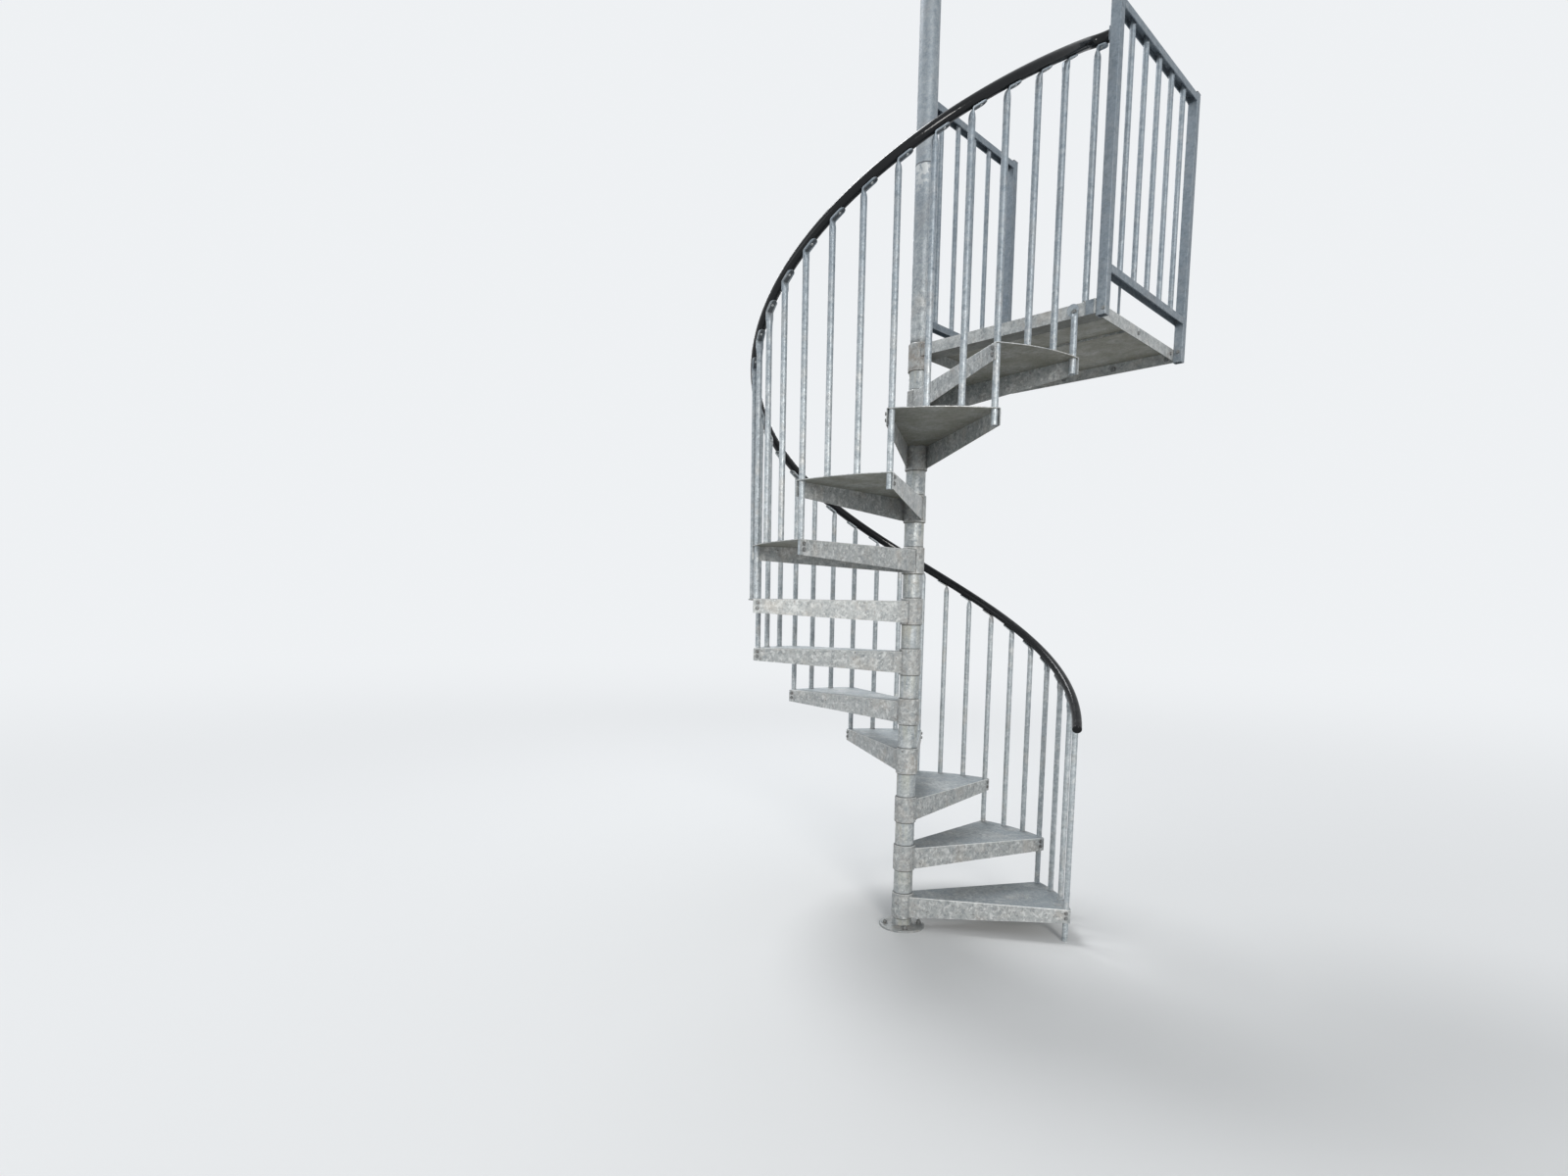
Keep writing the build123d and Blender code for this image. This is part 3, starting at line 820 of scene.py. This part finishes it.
def scatter_tree():
    """Puts a copy of one piece on each point, aimed by the point and spun at random."""
    g = Grower("copies_on_points", [
        ("Piece", "NodeSocketObject"), ("Spin", "NodeSocketFloat"), ("Seed", "NodeSocketInt"),
        ("Finish", "NodeSocketMaterial")])
    piece = g.node("GeometryNodeObjectInfo", None, {"Object": g.given("Piece")}, "Geometry")
    aim = g.node("GeometryNodeInputNamedAttribute", {"data_type": "FLOAT_VECTOR"}, {"Name": "aim"})
    aim = g.node("FunctionNodeEulerToRotation", None, {0: aim})
    roll = g.node("ShaderNodeCombineXYZ", None, {"Z": g.random(Max_001=g.given("Spin"))})
    roll = g.node("FunctionNodeEulerToRotation", None, {0: roll})
    aim = g.node("FunctionNodeRotateRotation", {"rotation_space": "LOCAL"}, {0: aim, 1: roll})
    copies = g.node("GeometryNodeInstanceOnPoints", None, {
        "Points": g.given("Geometry"), "Instance": piece, "Rotation": aim})
    return g.finish(copies, False)


def bead_tree():
    """Runs a weld bead along edges: ripples of a low round lump at an even pitch."""
    g = Grower("beads_on_edges", [
        ("Pitch", "NodeSocketFloat"), ("Width", "NodeSocketFloat"), ("Seed", "NodeSocketInt"),
        ("Finish", "NodeSocketMaterial")])
    path = g.node("GeometryNodeMeshToCurve", None, {"Mesh": g.given("Geometry")})
    path = g.node("GeometryNodeResampleCurve", {"mode": "LENGTH"},
                  {"Curve": path, "Length": g.given("Pitch")})
    lump = g.node("GeometryNodeMeshUVSphere", None, {"Segments": 8, "Rings": 5, "Radius": 0.5})
    aim = g.node("FunctionNodeAlignRotationToVector", {"axis": "Z"},
                 {"Vector": g.node("GeometryNodeInputTangent")})
    spread = g.random(Min_001=0.82, Max_001=1.16)
    wide = g.node("ShaderNodeMath", {"operation": "MULTIPLY"}, {0: g.given("Width"), 1: spread})
    long = g.node("ShaderNodeMath", {"operation": "MULTIPLY"}, {0: g.given("Pitch"), 1: 1.9})
    scale = g.node("ShaderNodeCombineXYZ", None, {"X": wide, "Y": wide, "Z": long})
    copies = g.node("GeometryNodeInstanceOnPoints", None, {
        "Points": path, "Instance": lump, "Rotation": aim, "Scale": scale})
    return g.finish(copies, True)


def named_tree(name, make):
    """The tree of that name, made on its first use."""
    return bpy.data.node_groups.get(name) or make()


def grown(name, source, tree, settings):
    """Runs a tree on a mesh and makes of it a plain mesh object that rides on the frame."""
    host = bpy.data.objects.new(name, source)
    bpy.context.collection.objects.link(host)
    modifier = host.modifiers.new("Grow", "NODES")
    modifier.node_group = tree
    for item in tree.interface.items_tree:
        if item.item_type == "SOCKET" and item.in_out == "INPUT" and item.name in settings:
            modifier[item.identifier] = settings[item.name]
    bpy.context.view_layer.update()
    evaluated = host.evaluated_get(bpy.context.evaluated_depsgraph_get())
    mesh = bpy.data.meshes.new_from_object(evaluated)
    host.modifiers.remove(modifier)
    host.data = mesh
    mesh.name = name
    if not mesh.polygons:
        raise RuntimeError(f"{name} came out empty")
    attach(host, BODY)


def scattered(name, piece, places, turns, spin, finish):
    """Copies of a piece at those places, turned by those angles about X, Y and Z, as one mesh."""
    mesh = bpy.data.meshes.new(name + "_points")
    mesh.from_pydata(places, [], [])
    aim = mesh.attributes.new("aim", "FLOAT_VECTOR", "POINT")
    for number, turn in enumerate(turns):
        aim.data[number].vector = turn
    grown(name, mesh, named_tree("copies_on_points", scatter_tree), {
        "Piece": piece, "Spin": spin, "Seed": sizes().seed, "Finish": finish})
    old = piece.data
    bpy.data.objects.remove(piece)
    bpy.data.meshes.remove(old)


def fasteners(name, piece, spots, finish=None):
    """Copies of a fastener at (place, outward direction) spots, as one piece."""
    places = [place for place, _ in spots]
    turns = [outward.to_track_quat("Z", "Y").to_euler() for _, outward in spots]
    scattered(name, piece, places, turns, 2 * math.pi, finish or bolt_finish())


def beads(name, paths, width=None):
    """Weld beads along lists of points, as one piece; a closed path ends where it starts."""
    points = []
    edges = []
    for path in paths:
        closed = (path[0] - path[-1]).length < SAME_PLACE
        path = path[:-1] if closed else path
        first = len(points)
        points.extend(path)
        edges.extend((first + k, first + k + 1) for k in range(len(path) - 1))
        if closed:
            edges.append((first + len(path) - 1, first))
    mesh = bpy.data.meshes.new(name + "_lines")
    mesh.from_pydata(points, edges, [])
    grown(name, mesh, named_tree("beads_on_edges", bead_tree), {
        "Pitch": sizes().bead_pitch, "Width": width or sizes().bead_width,
        "Seed": sizes().seed, "Finish": weld_finish()})


def arc(radius, start, end, z, centre=(0.0, 0.0), step=6):
    """Points of an arc about a vertical axis, a step of so many degrees apart."""
    count = max(2, round(abs(end - start) / math.radians(step)))
    middle = Vector((centre[0], centre[1], 0))
    return [middle + polar(radius, start + (end - start) * k / count, z) for k in range(count + 1)]


def circle(radius, z, centre=(0.0, 0.0), step=6):
    return arc(radius, 0, 2 * math.pi, z, centre, step)


# Places that follow the treads

def edge_turn(n, side):
    """The way that tread n's straight edge runs: side -1 is the nosing, +1 the rear."""
    return upright_angle(n - 1) + (LEAN if side < 0 else STEP - LEAN)


def edge_spot(n, side, along, outside, drop):
    """A point beside tread n's straight edge, so far out and so far below its face."""
    on_axis = polar(along, edge_turn(n, side), tread_top(n) - drop)
    return on_axis + edge_outward(n, side) * (HUB_OFFSET + outside)


def edge_outward(n, side):
    return polar(side, edge_turn(n, side) + math.pi / 2)


def rod_spots():
    """Every stair upright's angle, its tread's number and its number on the tread, climbing."""
    for n in range(1, len(TREADS) + 1):
        for j in range(RODS_PER_TREAD):
            yield upright_angle(n - 1) + j * STEP / RODS_PER_TREAD, n, j


# Operators

class STAIR_OT_steel(bpy.types.Operator):
    """Gives every steel node its galvanised finish"""
    bl_idname = "stair.steel"
    bl_label = "Steel finish"

    def execute(self, context):
        tread = zinc("zinc_treads", shade=1.0, bloom=0.75, specks=0.85, dull_and_shaded_below=0.9,
                     hub_stain=0.2)
        pole = zinc("zinc_pole", shade=1.05, streaks=0.6, bloom=0.45, specks=0.35, sky_reflection=0.06,
                    extra=pole_marks)
        rods = rod_finish()
        # The posts' zinc is darker all over: painted shade
        posts = zinc("zinc_posts", shade=0.76, streaks=0.5, bloom=0.35, specks=0.2, sky_reflection=0.12,
                     extra=painted_height_shade)
        plate = zinc("zinc_landing", shade=0.98, bloom=0.45, dull_and_shaded_below=0.92, hub_stain=0.5,
                     extra=lip_shade)
        base = zinc("zinc_base", shade=0.86, bloom=0.4, hub_stain=0.25)
        uprights = [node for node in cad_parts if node.startswith("balusters_")]
        finishes = (
            (tread, TREADS),
            (pole, ("centre_pole", "pole_extension", "pole_cap")),
            (rods, (*uprights, "landing_baluster", "landing_stub", "right_balusters",
                    "left_balusters")),
            (posts, (*GUARD_RAILS, "post_front", "post_back", "post_left", "post_clip",
                     "handrail_plate", "right_foot_bar")),
            (plate, ("landing", "landing_stiffener")),
            (base, ("base_plate",)),
        )
        for material, nodes in finishes:
            for node in nodes:
                paint(node, material)
        return {"FINISHED"}


class STAIR_OT_handrail(bpy.types.Operator):
    """Gives the handrail its black vinyl and the post caps their plastic"""
    bl_idname = "stair.handrail"
    bl_label = "Handrail and caps"

    def execute(self, context):
        cover = vinyl()
        for node in ("handrail", "handrail_elbow", "handrail_cap"):
            paint(node, cover)
        paint("post_caps", black_plastic())
        return {"FINISHED"}


class STAIR_OT_tread_bolts(bpy.types.Operator):
    """Bolts through the treads' flange ends into the uprights"""
    bl_idname = "stair.tread_bolts"
    bl_label = "Tread bolts"

    def execute(self, context):
        s = sizes()
        along = math.sqrt(TREAD_R ** 2 - HUB_OFFSET ** 2) - TREAD_BOLT_INSET
        spots = []
        for n in range(1, len(TREADS) + 1):
            for side in (-1, 1):
                for drop in TREAD_BOLT_DROPS:
                    place = edge_spot(n, side, along, 0, PLATE + drop)
                    spots.append((place, edge_outward(n, side)))
        bolt = hex_bolt("bolt", s.bolt_width, s.bolt_height, s.washer_width, TREAD_WASHER_HEIGHT)
        fasteners("tread_bolts", bolt, spots)
        return {"FINISHED"}


class STAIR_OT_tab_screws(bpy.types.Operator):
    """Pan head screws through the balusters' tabs into the handrail"""
    bl_idname = "stair.tab_screws"
    bl_label = "Tab screws"

    def seat(self, foot, turn, z, slope, length):
        """Where the head sits under a tab, and the way that it points."""
        out = (length - TAB_HOLE_FROM_END) * math.cos(slope)
        upper = z - (RAIL_R + RAIL_GAP) / math.cos(slope)
        local = Vector((0, out, upper + out * math.tan(slope)))
        down = Vector((0, math.sin(slope), -math.cos(slope)))
        turned = Matrix.Rotation(turn, 3, "Z")
        return foot + turned @ (local + down * TAB_SEAT), turned @ down

    def execute(self, context):
        spots = [
            self.seat(polar(CIRCLE, angle), angle, rail_z(angle), RAIL_SLOPE, TAB_LENGTH)
            for angle, _, _ in rod_spots()]
        spots.append(self.seat(
            LAST_UPRIGHT, LAST_TAB_TURN, LAST_TAB_RAIL_Z, LAST_TAB_SLOPE, LAST_TAB_LENGTH))
        fasteners("tab_screws", pan_screw("screw", sizes().screw_width), spots, screw_finish())
        return {"FINISHED"}


class STAIR_OT_tab_necks(bpy.types.Operator):
    """Rounds the balusters' tops out to the tube just under their tabs"""
    bl_idname = "stair.tab_necks"
    bl_label = "Tab necks"

    def execute(self, context):
        drop = (RAIL_R + RAIL_GAP) / math.cos(RAIL_SLOPE)
        places = [polar(CIRCLE, angle, rail_z(angle) - drop) for angle, _, _ in rod_spots()]
        turns = [(0, 0, angle) for angle, _, _ in rod_spots()]
        # The last tab is bent further over, so that its neck starts lower.
        places.append(LAST_UPRIGHT + UP * (LAST_TAB_RAIL_Z - RAIL_R - RAIL_GAP - LAST_NECK_DROP))
        turns.append((0, 0, LAST_TAB_TURN))
        neck = prototype("neck", loft(NECK, NECK_SIDES))
        scattered("tab_necks", neck, places, turns, 0.0, rod_finish())
        return {"FINISHED"}


class STAIR_OT_base_bolts(bpy.types.Operator):
    """Anchor bolts through the base plate"""
    bl_idname = "stair.base_bolts"
    bl_label = "Base bolts"

    def execute(self, context):
        width = sizes().anchor_width
        anchor = hex_bolt("anchor", width, ANCHOR_HEIGHT, width * ANCHOR_WASHER_SHARE,
                          ANCHOR_WASHER_HEIGHT, ANCHOR_STUD)
        turns = [(n + 0.5) * 2 * math.pi / BASE_BOLTS for n in range(BASE_BOLTS)]
        spots = [(polar(BASE_BOLT_CIRCLE, turn, BASE_TOP), UP) for turn in turns]
        fasteners("base_bolts", anchor, spots)
        return {"FINISHED"}


class STAIR_OT_landing_bolts(bpy.types.Operator):
    """Bolts at the landing's stub, clip, posts, right flange and building side"""
    bl_idname = "stair.landing_bolts"
    bl_label = "Landing bolts"

    def execute(self, context):
        stub_x = CIRCLE * math.cos(STUB_ANGLE) - STUB_BOLT_ASIDE
        stub_y = LANDING_Y0 - STUB_TAB_THICKNESS
        spots = [(Vector((stub_x, stub_y, LANDING_LOW + STUB_BOLT_UP)), FRONT)]
        fasteners("stub_bolt", hex_bolt("stub", *STUB_BOLT), spots)

        spots = [(Vector((x, LANDING_Y0 + TOP_BOLT_INSET, LANDING_Z)), UP) for x in TOP_BOLTS_X]
        post_bolts = ((FRONT_POST_BOLT, LANDING_Y0), (BACK_POST_BOLT, LANDING_Y1 - POST_W))
        for (aside, up), y in post_bolts:
            spots.append((Vector((LANDING_X1 + aside, y, LANDING_LOW + up)), FRONT))
        for y in RIGHT_BOLTS_Y:
            spots.append((Vector((LANDING_X1, y, LANDING_LOW + RIGHT_BOLT_UP)), RIGHT))
        fasteners("post_bolts", hex_bolt("small", *POST_BOLT), spots)

        pitch = (LANDING_X1 - LANDING_X0 - 2 * POST_W) / (BUILDING_BOLTS - 1)
        first = Vector((LANDING_X0 + POST_W, LANDING_Y1 - PLATE, LANDING_LOW + BUILDING_BOLT_UP))
        spots = [(first + RIGHT * (n * pitch), FRONT) for n in range(BUILDING_BOLTS)]
        fasteners("building_bolts", hex_bolt("lag", *BUILDING_BOLT), spots)
        return {"FINISHED"}


class STAIR_OT_hub_welds(bpy.types.Operator):
    """Beads where the treads and the landing meet their sleeves, and round the pole's foot"""
    bl_idname = "stair.hub_welds"
    bl_label = "Hub welds"

    radius = SLEEVE_R + HUB_BEAD_OFF

    def plate_arcs(self, start, end, top):
        """The beads over and under a plate, where it meets its sleeve between two angles."""
        under = top - PLATE - PLATE_BEAD_OFF
        return [
            arc(self.radius, start + UPPER_BEAD_FREE, end - UPPER_BEAD_FREE, top + PLATE_BEAD_OFF),
            arc(self.radius, start + LOWER_BEAD_FREE, end - LOWER_BEAD_FREE, under),
        ]

    def execute(self, context):
        along = math.sqrt(SLEEVE_R ** 2 - HUB_OFFSET ** 2)
        wide = math.atan2(HUB_OFFSET, along)
        paths = []
        for n in range(1, len(TREADS) + 1):
            start = edge_turn(n, -1) - wide
            end = edge_turn(n, 1) + wide
            paths.extend(self.plate_arcs(start, end, tread_top(n)))
            for side in (-1, 1):
                paths.append([
                    edge_spot(n, side, along - SIDE_BEAD_FREE, HUB_BEAD_OFF, drop)
                    for drop in (SIDE_BEAD_TOP, FLANGE_HUB - SIDE_BEAD_FREE)])
        start = math.asin(LANDING_Y0 / SLEEVE_R)
        end = math.acos(LANDING_X0 / SLEEVE_R)
        paths.extend(self.plate_arcs(start, end, LANDING_Z))
        for angle in (start, end):
            paths.append([
                polar(self.radius, angle, z)
                for z in (LANDING_Z - SIDE_BEAD_TOP, LANDING_LOW + SIDE_BEAD_FREE)])
        paths.append(circle(POLE_R + HUB_BEAD_OFF, BASE_TOP + HUB_BEAD_OFF))
        beads("hub_welds", paths)
        return {"FINISHED"}


class STAIR_OT_foot_welds(bpy.types.Operator):
    """Beads round the feet of the uprights that stand on a plate"""
    bl_idname = "stair.foot_welds"
    bl_label = "Foot welds"

    def execute(self, context):
        feet = [(polar(CIRCLE, angle), tread_top(n)) for angle, n, j in rod_spots() if j > 0]
        feet.append((LAST_UPRIGHT, LANDING_Z))
        paths = [
            circle(ROD_R + FOOT_BEAD_OFF, z + FOOT_BEAD_OFF, foot, step=20) for foot, z in feet]
        beads("foot_welds", paths, FOOT_BEAD)
        return {"FINISHED"}


class STAIR_OT_guard_welds(bpy.types.Operator):
    """Beads where the guard's rods meet its channels and the channels meet the posts"""
    bl_idname = "stair.guard_welds"
    bl_label = "Guard welds"

    def execute(self, context):
        paths = []
        pitch = (LANDING_Y1 - LANDING_Y0 - POST_W) / (GUARD_RODS + 1)
        foot_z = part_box("right_low_rail")[1].z + GUARD_BEAD_IN
        for x in (LANDING_X1 + POST_W / 2, 0.0):
            for n in range(GUARD_RODS):
                y = LANDING_Y0 + POST_W / 2 + (n + 1) * pitch
                paths.append(circle(GUARD_ROD_R + FOOT_BEAD_OFF, foot_z, (x, y), step=24))
        for name in GUARD_RAILS:
            low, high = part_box(name)
            left = low.x + GUARD_BEAD_IN
            top = high.z - GUARD_BEAD_IN
            corners = ((left, low.z), (left, top), (high.x - GUARD_BEAD_FREE, top))
            for y in (high.y,) if name.startswith("left") else (low.y, high.y):
                paths.append([Vector((x, y, z)) for x, z in corners])
        beads("guard_welds", paths, GUARD_BEAD)
        return {"FINISHED"}


class STAIR_OT_stage(bpy.types.Operator):
    """Plain floor, soft light and the camera of the photograph"""
    bl_idname = "stair.stage"
    bl_label = "Stage"

    def floor(self):
        look = colours()
        m = new_material("stage_floor")
        # The fade goes by one over the distance, so that it is even in the picture.
        nearness = FADE_DISTANCE / (m.from_axis(m.place()) + FADE_DISTANCE)
        far = m.ease(nearness, 0.72, 0.10) * m.shown_directly()
        matt = m.node("ShaderNodeBsdfDiffuse", None, {"Color": rgba(look.floor)})
        glow = m.node("ShaderNodeEmission", None, {"Color": rgba(look.backdrop), "Strength": 1.0})
        shape = bmesh.new()
        bmesh.ops.create_grid(shape, x_segments=8, y_segments=8, size=FLOOR_HALF)
        plane = prototype("floor", shape)
        plane.data.materials.append(
            m.finish(m.node("ShaderNodeMixShader", None, {0: far, 1: matt, 2: glow})))

    def world(self):
        m = Maker(bpy.data.worlds.new("studio"))
        soft = m.node("ShaderNodeBackground", None, {
            "Color": rgba(SOFT_LIGHT), "Strength": SOFT_STRENGTH})
        seen = m.node("ShaderNodeBackground", None, {"Color": rgba(colours().backdrop)})
        mixed = m.node("ShaderNodeMixShader", None, {0: m.shown_directly(), 1: soft, 2: seen})
        bpy.context.scene.world = m.finish(mixed, "ShaderNodeOutputWorld")

    def lamp(self, name, place, size, watts, colour):
        light = bpy.data.lights.new(name, "AREA")
        light.shape = "DISK"
        light.size = size
        light.energy = watts
        light.color = colour
        thing = bpy.data.objects.new(name, light)
        thing.location = place
        aim = LAMP_TARGET - Vector(place)
        thing.rotation_euler = aim.to_track_quat("-Z", "Y").to_euler()
        bpy.context.collection.objects.link(thing)

    def camera(self):
        data = bpy.data.cameras.new("camera")
        data.sensor_fit = "HORIZONTAL"
        data.sensor_width = SENSOR_MM
        data.lens = FOCAL_PX * SENSOR_MM / IMAGE_W
        data.shift_x = (IMAGE_W / 2 - CENTRE_PX[0]) / IMAGE_W
        data.shift_y = (CENTRE_PX[1] - IMAGE_H / 2) / IMAGE_W
        data.clip_end = CAMERA_REACH
        thing = bpy.data.objects.new("camera", data)
        thing.matrix_world = (
            Matrix.Translation(CAMERA_PLACE)
            @ Matrix.Rotation(CAMERA_YAW, 4, "Z")
            @ Matrix.Rotation(math.pi / 2 + CAMERA_PITCH, 4, "X")
            @ Matrix.Rotation(CAMERA_ROLL, 4, "Z"))
        bpy.context.collection.objects.link(thing)
        bpy.context.scene.camera = thing

    def execute(self, context):
        self.floor()
        self.world()
        for name, values in LAMPS.items():
            self.lamp(name, *values)
        self.camera()
        bpy.context.scene.view_settings.view_transform = "Standard"
        return {"FINISHED"}


class STAIR_PT_looks(bpy.types.Panel):
    """The staircase's pieces, in the order that they are made"""
    bl_label = "Staircase"
    bl_idname = "STAIR_PT_looks"
    bl_space_type = "VIEW_3D"
    bl_region_type = "UI"
    bl_category = "Staircase"

    def draw(self, context):
        for step in STEPS:
            self.layout.operator(step.bl_idname)
        for group in (context.scene.stair_sizes, context.scene.stair_colours):
            for name in group.bl_rna.properties.keys():
                if name not in ("rna_type", "name"):
                    self.layout.prop(group, name)


STEPS = (
    STAIR_OT_stage,
    STAIR_OT_steel,
    STAIR_OT_handrail,
    STAIR_OT_tread_bolts,
    STAIR_OT_tab_screws,
    STAIR_OT_tab_necks,
    STAIR_OT_base_bolts,
    STAIR_OT_landing_bolts,
    STAIR_OT_hub_welds,
    STAIR_OT_foot_welds,
    STAIR_OT_guard_welds,
)
CLASSES = (StairSizes, StairColours, *STEPS, STAIR_PT_looks)


def register():
    for each in CLASSES:
        bpy.utils.register_class(each)
    bpy.types.Scene.stair_sizes = PointerProperty(type=StairSizes)
    bpy.types.Scene.stair_colours = PointerProperty(type=StairColours)


def unregister():
    del bpy.types.Scene.stair_colours
    del bpy.types.Scene.stair_sizes
    for each in reversed(CLASSES):
        bpy.utils.unregister_class(each)


def main():
    register()
    bpy.ops.stair.stage()
    bpy.ops.stair.steel()
    bpy.ops.stair.handrail()
    bpy.ops.stair.tread_bolts()
    bpy.ops.stair.tab_screws()
    bpy.ops.stair.tab_necks()
    bpy.ops.stair.base_bolts()
    bpy.ops.stair.landing_bolts()
    bpy.ops.stair.hub_welds()
    bpy.ops.stair.foot_welds()
    bpy.ops.stair.guard_welds()


if __name__ == "__main__":
    main()
